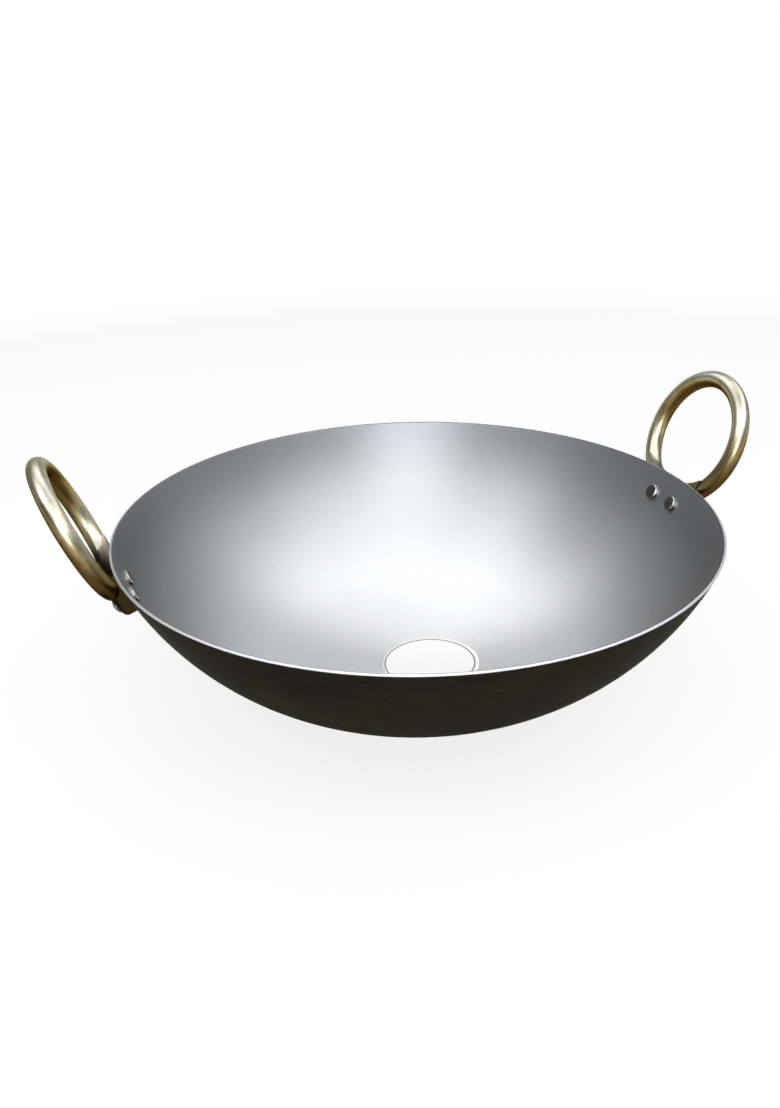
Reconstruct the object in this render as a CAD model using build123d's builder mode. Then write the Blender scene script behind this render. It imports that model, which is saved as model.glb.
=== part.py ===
from build123d import *
import os
from math import asin, cos, radians, sin, tan

os.makedirs("parts", exist_ok=True)

# A round-bottomed cooking pan of sheet steel with two cast ring handles, in millimetres.
# The origin is the middle of the flat base, +Z is up and the handles stand on the X axis;
# the right one is on +X, and forward is -Y.

# Dish: a flat base, a floor arc and a wall arc, each tangent to the next, in one sheet
rim_radius = 150
depth = 89.5
base_radius = 17
sheet = 1.7
rim_slope = 68.9
belly_slope = 33.3
rim_inner_round = 0.6
rim_outer_round = 0.3

# Ring of each handle: a round rod bent to a circle that leans outward from the rim
ring_radius = 32.3
rod_radius = 4.35
ring_lean = 22.9
ring_rise = 19.6
ring_standoff = 3.6

# Foot of each handle: a curved plate on the wall, scooped out between the legs of the ring
foot_thickness = 6.3
foot_drop = 21.0
foot_half_width = 20.5
foot_corner = 11.0
foot_edge_round = 2.4
horn_half_width = 24.0
horn_rise = 4.8
scoop_drop = 2.5

# Rivets: two through each foot, square to the wall, drilled a little forward of its middle
rivet_drop = 13.5
rivet_half_spacing = 9.3
pair_shift = 3.0
shank_radius = 2.5
inner_head_radius = 4.0
inner_head_height = 1.6
inner_head_bevel = 0.5
outer_head_radius = 3.6
outer_head_height = 1.9
outer_head_edge = 0.7

# Round paper label inside the dish, a little off the middle
label_radius = 26.0
label_thickness = 0.2
label_x = 7.5
label_y = -1.8

# Fits and cuts
seat_gap = 0.1
hole_clearance = 0.1
spot_clearance = 0.4
overrun = 20.0

half_turn = 180


def arc_radii():
    """Radii of the floor arc and the wall arc that reach the rim at its radius and height."""
    run = rim_radius - base_radius
    floor_run = sin(radians(belly_slope))
    wall_run = sin(radians(rim_slope)) - floor_run
    floor_rise = 1 - cos(radians(belly_slope))
    wall_rise = cos(radians(belly_slope)) - cos(radians(rim_slope))
    spread = floor_run * wall_rise - wall_run * floor_rise
    floor_arc = (run * wall_rise - depth * wall_run) / spread
    wall_arc = (depth * floor_run - run * floor_rise) / spread
    return floor_arc, wall_arc


floor_radius, wall_radius = arc_radii()


def dish_line(lift):
    """Trace the dish from its axis to its rim, raised off the outer face by lift."""
    base = Line((0, lift), (base_radius, lift))
    floor = JernArc(base @ 1, base % 1, floor_radius - lift, belly_slope)
    wall = JernArc(floor @ 1, floor % 1, wall_radius - lift, rim_slope - belly_slope)
    return base, wall


def wall_seat(drop, sideways, side):
    """Plane on the outer face, facing out, at a distance down the wall and along the rim."""
    slope = radians(rim_slope) - drop / wall_radius
    from_axis = rim_radius - wall_radius * (sin(radians(rim_slope)) - sin(slope))
    height = depth - wall_radius * (cos(slope) - cos(radians(rim_slope)))
    turn = radians(side) + asin(sideways / from_axis)
    return Plane(
        origin=(from_axis * cos(turn), from_axis * sin(turn), height),
        x_dir=(-sin(turn), cos(turn), 0),
        z_dir=(sin(slope) * cos(turn), sin(slope) * sin(turn), -cos(slope)),
    )


right_front = wall_seat(rivet_drop, -pair_shift - rivet_half_spacing, 0)
right_back = wall_seat(rivet_drop, -pair_shift + rivet_half_spacing, 0)
left_front = wall_seat(rivet_drop, pair_shift + rivet_half_spacing, half_turn)
left_back = wall_seat(rivet_drop, pair_shift - rivet_half_spacing, half_turn)
rivet_seats = {
    "rivet_right_front": right_front,
    "rivet_right_back": right_back,
    "rivet_left_front": left_front,
    "rivet_left_back": left_back,
}
foot_face = seat_gap + foot_thickness

# Bowl: the sheet turned about the upright axis, its rim cut square to the wall and eased inside
with BuildPart() as bowl:
    with BuildSketch(Plane.XZ):
        with BuildLine():
            outer_base, outer_wall = dish_line(0)
            inner_base, inner_wall = dish_line(sheet)
            Line(outer_base @ 0, inner_base @ 0)
            Line(outer_wall @ 1, inner_wall @ 1)
        section = make_face()
        outer_corner, inner_corner = section.vertices().sort_by(Axis.Y)[-2:]
        fillet(inner_corner, rim_inner_round)
        fillet(outer_corner, rim_outer_round)
    revolve(axis=Axis.Z)
    with BuildSketch(*rivet_seats.values()):
        Circle(shank_radius + hole_clearance)
    extrude(amount=overrun, both=True, mode=Mode.SUBTRACT)

bowl.part.label = "bowl"
export_step(bowl.part, "parts/bowl.step")

# Foot plate: a layer over the wall, carried on straight above the rim, cut to its outline
rim_seat = wall_seat(0, 0, 0)
with BuildPart() as foot:
    with BuildSketch(Plane.XZ):
        with BuildLine():
            back_base, back_wall = dish_line(-seat_gap)
            front_base, front_wall = dish_line(-foot_face)
            back_top = PolarLine(back_wall @ 1, horn_rise + overrun, direction=back_wall % 1)
            front_top = PolarLine(front_wall @ 1, horn_rise + overrun, direction=front_wall % 1)
            Line(back_base @ 0, front_base @ 0)
            Line(back_top @ 1, front_top @ 1)
        make_face()
    revolve(axis=Axis.Z)
    with BuildSketch(rim_seat):
        with BuildLine():
            scoop = ThreePointArc(
                (-horn_half_width, horn_rise), (0, -scoop_drop), (horn_half_width, horn_rise)
            )
            Polyline(
                scoop @ 1,
                (foot_half_width, -foot_drop),
                (-foot_half_width, -foot_drop),
                scoop @ 0,
            )
        outline = make_face()
        fillet(outline.vertices().sort_by(Axis.Y)[:2], foot_corner)
    extrude(amount=overrun, both=True, mode=Mode.INTERSECT)
    front_face = foot.faces().sort_by(Axis.X)[-1]
    fillet(front_face.edges(), foot_edge_round)

# Casting: the ring, trimmed where it presses into the wall, fused with its foot plate
ring_centre = Vector(
    rim_radius + ring_standoff + ring_rise * tan(radians(ring_lean)), 0, depth + ring_rise
)
ring_up = Vector(sin(radians(ring_lean)), 0, cos(radians(ring_lean)))
ring_axis = Axis(ring_centre, ring_up.cross(Vector(0, 1, 0)))
with BuildPart() as casting:
    with BuildSketch(Plane(origin=ring_centre, x_dir=(0, 1, 0), z_dir=ring_up)):
        with Locations((ring_radius, 0)):
            Circle(rod_radius)
    revolve(axis=ring_axis)
    with BuildSketch(Plane.XZ):
        with BuildLine():
            trim_base, trim_wall = dish_line(-seat_gap)
            trim_top = PolarLine(trim_wall @ 1, overrun, direction=trim_wall % 1)
            Polyline(trim_top @ 1, (0, (trim_top @ 1).Y), trim_base @ 0)
        make_face()
    revolve(axis=Axis.Z, mode=Mode.SUBTRACT)
    add(foot.part)

# Right handle: the casting with its two rivet holes and a flat spot face round each
with BuildPart() as handle_right:
    add(casting.part)
    with BuildSketch(right_front, right_back):
        Circle(shank_radius + hole_clearance)
    extrude(amount=overrun, both=True, mode=Mode.SUBTRACT)
    with BuildSketch(right_front.offset(foot_face), right_back.offset(foot_face)):
        Circle(outer_head_radius + spot_clearance)
    extrude(amount=overrun, mode=Mode.SUBTRACT)

handle_right.part.label = "handle_right"
export_step(handle_right.part, "parts/handle_right.step")

# Left handle: the same casting turned to the other side, drilled to its own rivets
with BuildPart() as handle_left:
    add(casting.part, rotation=(0, 0, half_turn))
    with BuildSketch(left_front, left_back):
        Circle(shank_radius + hole_clearance)
    extrude(amount=overrun, both=True, mode=Mode.SUBTRACT)
    with BuildSketch(left_front.offset(foot_face), left_back.offset(foot_face)):
        Circle(outer_head_radius + spot_clearance)
    extrude(amount=overrun, mode=Mode.SUBTRACT)

handle_left.part.label = "handle_left"
export_step(handle_left.part, "parts/handle_left.step")

# Rivets: a bevelled head inside, a shank through sheet and foot, a low dome outside
inner_seat = -sheet - seat_gap
inner_end = inner_seat - inner_head_height
outer_seat = foot_face + seat_gap
outer_edge = outer_seat + outer_head_edge
outer_end = outer_seat + outer_head_height
for name, seat in rivet_seats.items():
    with BuildPart() as rivet:
        with BuildSketch(Plane(origin=seat.origin, x_dir=seat.x_dir, z_dir=-seat.y_dir)):
            with BuildLine():
                crown = TangentArc((0, outer_end), (outer_head_radius, outer_edge), tangent=(1, 0))
                Polyline(
                    crown @ 1,
                    (outer_head_radius, outer_seat),
                    (shank_radius, outer_seat),
                    (shank_radius, inner_seat),
                    (inner_head_radius, inner_seat),
                    (inner_head_radius, inner_end + inner_head_bevel),
                    (inner_head_radius - inner_head_bevel, inner_end),
                    (0, inner_end),
                    crown @ 0,
                )
            make_face()
        revolve(axis=Axis(seat.origin, seat.z_dir))
    rivet.part.label = name
    export_step(rivet.part, f"parts/{name}.step")

# Label: a thin layer over the inner face, cut to a round disc
with BuildPart() as label:
    with BuildSketch(Plane.XZ):
        with BuildLine():
            under_base, under_wall = dish_line(sheet + seat_gap)
            over_base, over_wall = dish_line(sheet + seat_gap + label_thickness)
            Line(under_base @ 0, over_base @ 0)
            Line(under_wall @ 1, over_wall @ 1)
        make_face()
    revolve(axis=Axis.Z)
    with BuildSketch():
        with Locations((label_x, label_y)):
            Circle(label_radius)
    extrude(amount=depth, mode=Mode.INTERSECT)

label.part.label = "label"
export_step(label.part, "parts/label.step")
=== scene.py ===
import bpy
import bmesh
from math import cos, radians, sin
from mathutils import Matrix, Vector


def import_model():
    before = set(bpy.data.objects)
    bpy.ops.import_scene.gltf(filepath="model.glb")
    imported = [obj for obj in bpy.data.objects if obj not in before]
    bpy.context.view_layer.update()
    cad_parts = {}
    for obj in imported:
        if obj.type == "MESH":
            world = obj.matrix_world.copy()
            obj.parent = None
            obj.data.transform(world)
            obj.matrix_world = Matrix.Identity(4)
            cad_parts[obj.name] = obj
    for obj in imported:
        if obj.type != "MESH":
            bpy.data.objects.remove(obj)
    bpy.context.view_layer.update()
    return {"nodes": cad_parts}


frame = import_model()
scene = bpy.context.scene

# Lengths are metres in the part's own frame: +Z up from the flat base, the handles on the X axis
# and the front on -Y. Colours are linear. Every shape of the pan is a CAD node, carried over as
# it is. This script gives the nodes their materials, and sets the floor, the light and the camera.
MM = 0.001

# A layer is its tone, its share and its bands. Each band names a guide and the two values of it
# between which the layer sets in. A noise is its scale per metre, its detail and its roughness.

# Bowl: steel ground bright in circles inside, with painted shade that darkens the inner wall
# towards the rim, a cut rim with a darker lip, dark scale outside
OUTSIDE = (("up", 0.10, -0.10),)
RIM = (("up", 0.45, 0.60), ("height", 0.0870, 0.0880))
RIM_TONE, RIM_ROUGH = (0.84, 0.86, 0.89), 0.58
GROUND_TONES = (0.926, 0.942, 0.958), (0.958, 0.970, 0.982)
GROUND_LAYERS = (
    ((0.790, 0.816, 0.845), 0.36, ("grain", 0.34, 0.66)),
    ((0.770, 0.796, 0.825), 0.16, ("blotch", 0.50, 0.72)),
    ((0.790, 0.816, 0.845), 0.14, ("circles", 0.40, 0.64)),
    # painted shade: the inner wall is painted darker and bluer the further it is from the axis
    ((0.146, 0.160, 0.181), 0.68, ("radius", 0.075, 0.152)),
    ((0.088, 0.101, 0.119), 0.26, ("radius", 0.128, 0.152)),
)
SCALE_TONES = (0.0096, 0.0074, 0.0050), (0.0160, 0.0125, 0.0090)
SCALE_LAYERS = (
    ((0.036, 0.028, 0.019), 1.0, ("scale_grain", 0.56, 0.74)),
    ((0.024, 0.018, 0.011), 1.0, ("patches", 0.50, 0.70)),
    ((0.0050, 0.0038, 0.0026), 0.60, ("bands", 0.50, 0.70)),
    ((0.30, 0.29, 0.27), 0.30, ("worn", 0.0898, 0.0908)),
)
LIP_LAYERS = (
    ((0.065, 0.070, 0.080), 0.90,
     ("outward", -0.90, -0.66), ("outward", 0.28, 0.05), ("height", 0.0878, 0.0886)),
)
BOWL_NOISES = {
    "grain": (1500.0, 2.0, 0.6),
    "cloud": (14.0, 3.0, 0.5),
    "blotch": (90.0, 4.0, 0.65),
    "scale_cloud": (45.0, 4.0, 0.6),
    "scale_grain": (900.0, 3.0, 0.7),
    "patches": (22.0, 5.0, 0.6),
}
CIRCLE_NOISE, CIRCLE_PULL = (1600.0, 3.0, 0.7), 0.004
BAND_NOISE, BAND_PULL = (480.0, 3.0, 0.6), 0.020
WORN_WAVE = 0.0022
GROUND_ROUGH, SCALE_ROUGH = (0.44, 0.54), (0.66, 0.80)
GROUND_METAL, SCALE_METAL = 0.97, 0.90
GROUND_RELIEF = {"circles": 0.6, "grain": 0.5}
SCALE_RELIEF = {"scale_cloud": 1.0, "scale_grain": 0.6}
BOWL_RELIEF = 0.00005
BOWL_TINT = (0.80, 0.76, 0.70, 1)
BRUSHING, BRUSHING_TURN = 0.60, 0.25

# Handles: cast brass with painted shade, pale only on faces that look up and painted golden and
# brown on the sides, the undersides, the inner and outer faces, the lower front legs and the foot
RING_MIDDLE = (0.1619, 0, 0.1091)
BRASS_TONE = (0.78, 0.735, 0.58)
BRASS_LAYERS = (
    ((0.86, 0.835, 0.72), 1.0, ("cloud", 0.35, 0.65)),
    ((0.58, 0.48, 0.28), 0.55, ("mottle", 0.50, 0.74)),
    # painted shade: faces that look sideways rather than up are painted golden brown
    ((0.390, 0.305, 0.130), 0.80, ("painted_shade_up", 0.62, 0.12)),
    # painted shade: faces of the rings that look in towards their middle are painted golden brown
    # on the upper part
    ((0.500, 0.330, 0.095), 0.85, ("inward", 0.10, -0.50), ("height", 0.104, 0.122)),
    # painted shade: the lower part of the front legs is painted dark golden brown
    ((0.205, 0.140, 0.048), 0.84, ("height", 0.130, 0.100), ("y", 0.014, -0.006)),
    # painted shade: faces that look out away from the bowl, and not up, are painted dark brown
    ((0.150, 0.112, 0.042), 0.80, ("outward", 0.15, 0.70), ("painted_shade_up", 0.80, 0.35)),
    # painted shade: faces that look down are painted near black brown
    ((0.080, 0.048, 0.012), 0.94, ("painted_shade_up", 0.28, -0.26)),
)
# painted shadow: the foot is painted near black just under the rim, between ring and bowl, fading
# to dark brown lower down
FOOT_SHADOW_TONE = (0.006, 0.005, 0.003)
FOOT_SHADOW_LAYERS = (((0.062, 0.042, 0.014), 1.0, ("height", 0.080, 0.069)),)
FOOT_SHARE = 0.94
FOOT = (("height", 0.094, 0.086), ("outward", -0.35, 0.10))
BRASS_NOISES = {
    "cloud": (60.0, 3.0, 0.55),
    "mottle": (260.0, 3.0, 0.6),
    "grain": (1500.0, 2.0, 0.6),
}
PAINTED_SHADE_WAVE, INWARD_WAVE = 0.7, 0.8
BRASS_ROUGH = (0.27, 0.40)
BRASS_GRAIN, BRASS_RELIEF = 0.03, 0.00004
BRASS_TINT = (0.40, 0.34, 0.22, 1)

# Rivets: grey steel with dark flat faces inside, and brassy heads outside, with painted shade near
# black on the sides of the heads that look down
RIVET_FACE = (("outward", -0.70, -0.85),)
RIVET_EDGE_TONES = (0.50, 0.48, 0.44), (0.80, 0.78, 0.73)
RIVET_FACE_TONES = (0.070, 0.064, 0.056), (0.300, 0.285, 0.265)
RIVET_LAYERS = (
    # painted shade: the sides of the heads that look down are painted near black
    ((0.012, 0.010, 0.008), 0.95, ("up", 0.20, -0.30), ("outward", -0.93, -0.80)),
    ((0.110, 0.084, 0.044), 1.0, ("radius", 0.1462, 0.1475)),
)
RIVET_NOISE = (500.0, 3.0, 0.6)
RIVET_ROUGH, RIVET_RELIEF = (0.26, 0.46), 0.00010
HANDLE_METAL = 0.95

# Label: bare paper with one thin dark ring near its edge, printed a little off the disc's middle
LINE_CENTRE = (6.84 * MM, -1.58 * MM, 0)
LINE_RADIUS, LINE_OUTER, LINE_INNER = 24.3 * MM, 0.45 * MM, 0.25 * MM
PAPER_TONES, LINE_TONE = ((0.825, 0.828, 0.826), (0.865, 0.866, 0.862)), (0.10, 0.10, 0.11)
PAPER_NOISE = (700.0, 3.0, 0.6)
PAPER_ROUGH, PAPER_RELIEF = (0.38, 0.50), 0.00002

# Floor: a white disc just under the base, which keeps a soft shadow and fades into the backdrop
FLOOR_RADIUS, FLOOR_SIDES, FLOOR_DROP = 12.0, 96, 0.1 * MM
FLOOR_TONE = (0.96, 0.96, 0.96, 1)
FLOOR_NEAR, FLOOR_FAR = 0.40, 1.10
FLOOR_LIFT = 0.80
WHITE = (1, 1, 1, 1)

# World: a white backdrop for the camera, and for reflections near the horizon. Otherwise a dim,
# cool room with a brighter sweep of wall behind the bowl, a little to its right.
SWEEP_TURN = 25
BACKDROP_UP = (0.10, 0.05)
SWEEP_AHEAD, SWEEP_UP, SWEEP_SHARE = (0.25, 0.65), (0.55, 0.35), 0.34
ROOM_DIM, ROOM_WHITE, ROOM_DIFFUSE = 0.06, 1.0, 0.12
ROOM_TINT = (0.82, 0.92, 1.0)

# Softboxes on a dome round the bowl, one per row: degrees round from straight behind the bowl
# as the camera sees it, degrees up, and watts
BOXES = (
    (180, 25, 12.2), (180, 40, 1.6), (180, 70, 0.9), (0, 55, 0.9), (0, 70, 1.3),
    (150, 50, 2.9), (-150, 50, 1.75), (120, 50, 3.0), (-120, 50, 3.3),
    (90, 50, 1.45), (-90, 50, 1.1), (60, 50, 1.85), (45, 40, 0.8), (-30, 50, 2.4),
    (135, 70, 0.9), (-135, 70, 0.75), (-90, 70, 0.85), (45, 70, 0.5),
)
BOX_AIM, BOX_DISTANCE = Vector((0, 0, 0.05)), 1.5
BOX_WIDTH, BOX_DEPTH = 0.85, 0.65

# Camera, solved from the photograph: place, angles, and focal length in pixels of the long side
PLACE = Vector((-0.1591, -0.4363, 0.2906))
TURN, TILT, ROLL = radians(18.42), radians(25.59), radians(-1.48)
FOCAL_PX, FRAME_PX, SENSOR = 1003, 1108, 36
CLIP_START = 0.01


def node(tree, kind, inputs=None, **settings):
    """Add a shader node, with sockets linked and other values set on its inputs."""
    made = tree.nodes.new("ShaderNode" + kind)
    for key, value in settings.items():
        setattr(made, key, value)
    feed(tree, made, inputs or {})
    return made


def feed(tree, made, inputs):
    """Link each socket to its input of a node, and set every other value on it."""
    for key, value in inputs.items():
        if isinstance(value, bpy.types.NodeSocket):
            tree.links.new(value, made.inputs[key])
        else:
            made.inputs[key].default_value = value


def maths(tree, operation, a, b=0.0):
    return node(tree, "Math", {0: a, 1: b}, operation=operation).outputs[0]


def vector_maths(tree, operation, a, b=(0, 0, 0)):
    """A vector operation, and its number where it gives one."""
    made = node(tree, "VectorMath", {0: a, 1: b}, operation=operation)
    return made.outputs["Value" if operation in ("LENGTH", "DOT_PRODUCT") else "Vector"]


def split(tree, vector):
    """The x, y and z of a vector."""
    return list(node(tree, "SeparateXYZ", {0: vector}).outputs)


def join(tree, x, y, z=0.0):
    return node(tree, "CombineXYZ", {0: x, 1: y, 2: z}).outputs[0]


def step(tree, value, low, high):
    """0 before low, 1 past high, smooth between; low may be the larger one."""
    made = node(tree, "MapRange", {"Value": value, "From Min": low, "From Max": high},
                interpolation_type="SMOOTHSTEP")
    return made.outputs["Result"]


def mix(tree, factor, a, b):
    """Mix two colours, each a socket or a red, green and blue."""
    a, b = [c if isinstance(c, bpy.types.NodeSocket) else (*c, 1) for c in (a, b)]
    return node(tree, "Mix", {0: factor, 6: a, 7: b}, data_type="RGBA").outputs[2]


def mix_value(tree, factor, a, b):
    return node(tree, "Mix", {0: factor, 2: a, 3: b}, data_type="FLOAT").outputs[0]


def noise(tree, vector, scale, detail, rough):
    made = node(tree, "TexNoise", {"Vector": vector, "Scale": scale, "Detail": detail,
                                   "Roughness": rough})
    return made.outputs["Fac"]


def bump(tree, height, distance):
    made = node(tree, "Bump", {"Height": height, "Distance": distance, "Strength": 1.0})
    return made.outputs["Normal"]


def wave(tree, value, cloud, reach):
    """Move a value up and down by a cloud, so that a band of it has a wavy edge."""
    shift = maths(tree, "MULTIPLY", maths(tree, "SUBTRACT", cloud, 0.5), reach)
    return maths(tree, "ADD", value, shift)


def cover(tree, guides, share, bands):
    """How much a layer covers: its share times each of its bands."""
    for guide, low, high in bands:
        share = maths(tree, "MULTIPLY", step(tree, guides[guide], low, high), share)
    return share


def paint(tree, guides, colour, layers):
    """Lay the tone of each layer over a colour."""
    for tone, share, *bands in layers:
        colour = mix(tree, cover(tree, guides, share, bands), colour, tone)
    return colour


def material(name):
    """A new material, its node tree and shader, and the place and normal on the surface."""
    made = bpy.data.materials.new(name)
    made.use_nodes = True
    tree = made.node_tree
    coord = node(tree, "TexCoord").outputs
    return made, tree, tree.nodes["Principled BSDF"], coord["Object"], coord["Normal"]


def around(tree, place, normal):
    """Guides by place: height, distance from the axis, and how far a face looks up and outward."""
    x, y, height = split(tree, place)
    flat = join(tree, x, y)
    outward = vector_maths(tree, "DOT_PRODUCT", vector_maths(tree, "NORMALIZE", flat), normal)
    return {"x": x, "y": y, "height": height, "up": split(tree, normal)[2],
            "radius": vector_maths(tree, "LENGTH", flat), "outward": outward}


def circling(tree, guides, along, pull, texture):
    """Noise drawn out round the upright axis: the shorter the pull, the longer its marks."""
    angle = maths(tree, "ARCTAN2", guides["y"], guides["x"])
    ring = [maths(tree, "MULTIPLY", maths(tree, turn, angle), pull) for turn in ("COSINE", "SINE")]
    return noise(tree, join(tree, *ring, along), *texture)


def weighed(tree, guides, weights):
    """Add up two guides, each times its weight."""
    first, second = [maths(tree, "MULTIPLY", guides[name], by) for name, by in weights.items()]
    return maths(tree, "ADD", first, second)


def bowl_material():
    made, t, shader, place, normal = material("bowl_steel")
    guides = around(t, place, normal)
    for name, texture in BOWL_NOISES.items():
        guides[name] = noise(t, place, *texture)
    guides["circles"] = circling(t, guides, guides["radius"], CIRCLE_PULL, CIRCLE_NOISE)
    guides["bands"] = circling(t, guides, guides["height"], BAND_PULL, BAND_NOISE)
    guides["worn"] = maths(t, "ADD", guides["height"],
                           maths(t, "MULTIPLY", guides["scale_cloud"], WORN_WAVE))
    outside, rim = cover(t, guides, 1.0, OUTSIDE), cover(t, guides, 1.0, RIM)

    inner = paint(t, guides, mix(t, guides["cloud"], *GROUND_TONES), GROUND_LAYERS)
    outer = paint(t, guides, mix(t, guides["scale_cloud"], *SCALE_TONES), SCALE_LAYERS)
    colour = mix(t, rim, mix(t, outside, inner, outer), RIM_TONE)
    colour = paint(t, guides, colour, LIP_LAYERS)

    rough = mix_value(t, outside, mix_value(t, guides["circles"], *GROUND_ROUGH),
                      mix_value(t, guides["scale_cloud"], *SCALE_ROUGH))
    lift = mix_value(t, outside, weighed(t, guides, GROUND_RELIEF),
                     weighed(t, guides, SCALE_RELIEF))
    feed(t, shader, {
        "Base Color": colour,
        "Metallic": mix_value(t, outside, GROUND_METAL, SCALE_METAL),
        "Roughness": mix_value(t, rim, rough, RIM_ROUGH),
        "Normal": bump(t, lift, BOWL_RELIEF),
        "Tangent": node(t, "Tangent", direction_type="RADIAL", axis="Z").outputs[0],
        "Specular Tint": BOWL_TINT,
        "Anisotropic": BRUSHING,
        "Anisotropic Rotation": BRUSHING_TURN,
    })
    return made


def brass_material():
    made, t, shader, place, normal = material("handle_brass")
    guides = {name: noise(t, place, *texture) for name, texture in BRASS_NOISES.items()}
    x, guides["y"], guides["height"] = split(t, place)
    across, along, up = split(t, normal)
    # painted shade: how far a face looks up, with a wavy edge; the brass is pale only where it
    # looks up
    guides["painted_shade_up"] = wave(t, up, guides["cloud"], PAINTED_SHADE_WAVE)

    # both rings, and the two halves of each, are folded onto one quarter, seen from its middle
    guides["outward"] = maths(t, "MULTIPLY", across, maths(t, "SIGN", x))
    along = maths(t, "MULTIPLY", along, maths(t, "SIGN", guides["y"]))
    folded = vector_maths(t, "SUBTRACT", vector_maths(t, "ABSOLUTE", place), RING_MIDDLE)
    inward = vector_maths(t, "DOT_PRODUCT", vector_maths(t, "NORMALIZE", folded),
                          join(t, guides["outward"], along, up))
    guides["inward"] = wave(t, inward, guides["cloud"], INWARD_WAVE)

    # painted shadow on the foot, laid last over the brass
    foot_shadow = paint(t, guides, FOOT_SHADOW_TONE, FOOT_SHADOW_LAYERS)
    colour = paint(t, guides, BRASS_TONE, (*BRASS_LAYERS, (foot_shadow, FOOT_SHARE, *FOOT)))
    lift = maths(t, "ADD", guides["mottle"], maths(t, "MULTIPLY", guides["grain"], BRASS_GRAIN))
    feed(t, shader, {
        "Base Color": colour,
        "Metallic": HANDLE_METAL,
        "Roughness": mix_value(t, guides["mottle"], *BRASS_ROUGH),
        "Normal": bump(t, lift, BRASS_RELIEF),
        "Specular Tint": BRASS_TINT,
    })
    return made


def rivet_material():
    made, t, shader, place, normal = material("rivet_steel")
    guides = around(t, place, normal)
    mottle = noise(t, place, *RIVET_NOISE)
    edge, face = mix(t, mottle, *RIVET_EDGE_TONES), mix(t, mottle, *RIVET_FACE_TONES)
    colour = mix(t, cover(t, guides, 1.0, RIVET_FACE), edge, face)
    feed(t, shader, {
        "Base Color": paint(t, guides, colour, RIVET_LAYERS),
        "Metallic": HANDLE_METAL,
        "Roughness": mix_value(t, mottle, *RIVET_ROUGH),
        "Normal": bump(t, mottle, RIVET_RELIEF),
    })
    return made


def label_material():
    made, t, shader, place, _ = material("label_paper")
    x, y, _ = split(t, vector_maths(t, "SUBTRACT", place, LINE_CENTRE))
    away = vector_maths(t, "LENGTH", join(t, x, y))
    off_line = maths(t, "ABSOLUTE", maths(t, "SUBTRACT", away, LINE_RADIUS))
    fibre = noise(t, place, *PAPER_NOISE)
    line = step(t, off_line, LINE_OUTER, LINE_INNER)
    feed(t, shader, {
        "Base Color": mix(t, line, mix(t, fibre, *PAPER_TONES), LINE_TONE),
        "Roughness": mix_value(t, fibre, *PAPER_ROUGH),
        "Normal": bump(t, fibre, PAPER_RELIEF),
    })
    return made


def seen_rays(tree):
    """1 for rays that see the backdrop, also by way of metal and glass, and the camera's own."""
    path = node(tree, "LightPath").outputs
    seen = maths(tree, "MAXIMUM", path["Is Camera Ray"], path["Is Glossy Ray"])
    return maths(tree, "MAXIMUM", seen, path["Is Transmission Ray"]), path["Is Camera Ray"]


def floor():
    made, t, shader, place, _ = material("floor_white")
    seen, camera_ray = seen_rays(t)
    fade = step(t, vector_maths(t, "LENGTH", place), FLOOR_NEAR, FLOOR_FAR)
    lift = maths(t, "MAXIMUM", maths(t, "MULTIPLY", fade, seen),
                 maths(t, "MULTIPLY", camera_ray, FLOOR_LIFT))
    feed(t, shader, {"Base Color": FLOOR_TONE, "Roughness": 1.0, "Specular IOR Level": 0.0})
    white = node(t, "Emission", {"Color": WHITE, "Strength": 1.0})
    blend = node(t, "MixShader", {0: lift, 1: shader.outputs[0], 2: white.outputs[0]})
    t.links.new(blend.outputs[0], t.nodes["Material Output"].inputs["Surface"])

    mesh = bpy.data.meshes.new("floor")
    shape = bmesh.new()
    bmesh.ops.create_circle(shape, cap_ends=True, radius=FLOOR_RADIUS, segments=FLOOR_SIDES)
    shape.to_mesh(mesh)
    shape.free()
    mesh.materials.append(made)
    piece = bpy.data.objects.new("floor", mesh)
    piece.location.z = -FLOOR_DROP
    scene.collection.objects.link(piece)


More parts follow.
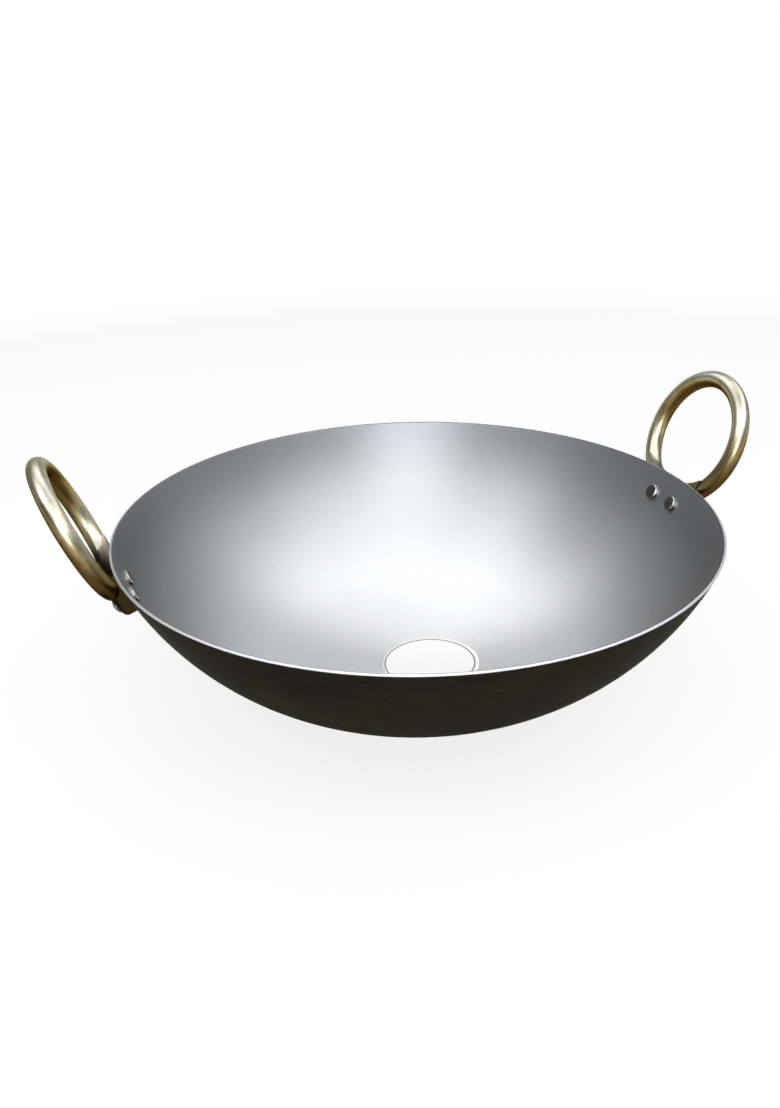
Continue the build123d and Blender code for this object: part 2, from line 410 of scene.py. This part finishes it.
def world():
    made = bpy.data.worlds.new("studio")
    made.use_nodes = True
    scene.world = made
    t = made.node_tree
    look = node(t, "TexCoord").outputs["Generated"]
    up = split(t, look)[2]
    seen, camera_ray = seen_rays(t)
    backdrop = maths(t, "MULTIPLY", step(t, up, *BACKDROP_UP), seen)
    backdrop = maths(t, "MAXIMUM", backdrop, camera_ray)

    turn = TURN + radians(SWEEP_TURN)
    ahead = vector_maths(t, "DOT_PRODUCT", look, (sin(turn), cos(turn), 0))
    sweep = maths(t, "MULTIPLY", step(t, ahead, *SWEEP_AHEAD), step(t, up, *SWEEP_UP))
    room = mix_value(t, maths(t, "MULTIPLY", sweep, SWEEP_SHARE), ROOM_DIM, ROOM_WHITE)
    room = mix_value(t, node(t, "LightPath").outputs["Is Diffuse Ray"], room, ROOM_DIFFUSE)
    feed(t, t.nodes["Background"], {
        "Color": mix(t, backdrop, ROOM_TINT, WHITE[:3]),
        "Strength": mix_value(t, backdrop, room, 1.0),
    })


def lamp(name, place, watts):
    """A softbox at a place, turned to the bowl."""
    data = bpy.data.lights.new(name, "AREA")
    data.shape = "RECTANGLE"
    data.size, data.size_y = BOX_WIDTH, BOX_DEPTH
    data.energy = watts
    made = bpy.data.objects.new(name, data)
    made.location = place
    made.rotation_euler = (BOX_AIM - place).to_track_quat("-Z", "Y").to_euler()
    scene.collection.objects.link(made)


def on_dome(round_from, up_from):
    """A place round the bowl, in degrees: 0 is behind it from the camera, 180 by the camera."""
    azimuth, elevation = TURN + radians(round_from), radians(up_from)
    level = cos(elevation)
    return Vector((sin(azimuth) * level, cos(azimuth) * level, sin(elevation))) * BOX_DISTANCE


def camera():
    ahead = Vector((sin(TURN) * cos(TILT), cos(TURN) * cos(TILT), -sin(TILT)))
    right = Vector((cos(TURN), -sin(TURN), 0))
    up = right.cross(ahead)
    right, up = right * cos(ROLL) + up * sin(ROLL), up * cos(ROLL) - right * sin(ROLL)
    lens = bpy.data.cameras.new("camera")
    lens.sensor_width = SENSOR
    lens.lens = FOCAL_PX * SENSOR / FRAME_PX
    lens.clip_start = CLIP_START
    made = bpy.data.objects.new("camera", lens)
    stand = Matrix((right, up, -ahead)).transposed().to_4x4()
    stand.translation = PLACE
    made.matrix_world = stand
    scene.collection.objects.link(made)
    scene.camera = made


looks = {"bowl": bowl_material(), "handle": brass_material(), "rivet": rivet_material(),
         "label": label_material()}
for name, piece in frame["nodes"].items():
    piece.data.materials.clear()
    piece.data.materials.append(looks[name.split("_")[0]])
floor()
world()
for number, (round_from, up_from, watts) in enumerate(BOXES):
    lamp("softbox_%d" % number, on_dome(round_from, up_from), watts)
camera()
scene.view_settings.view_transform = "Standard"
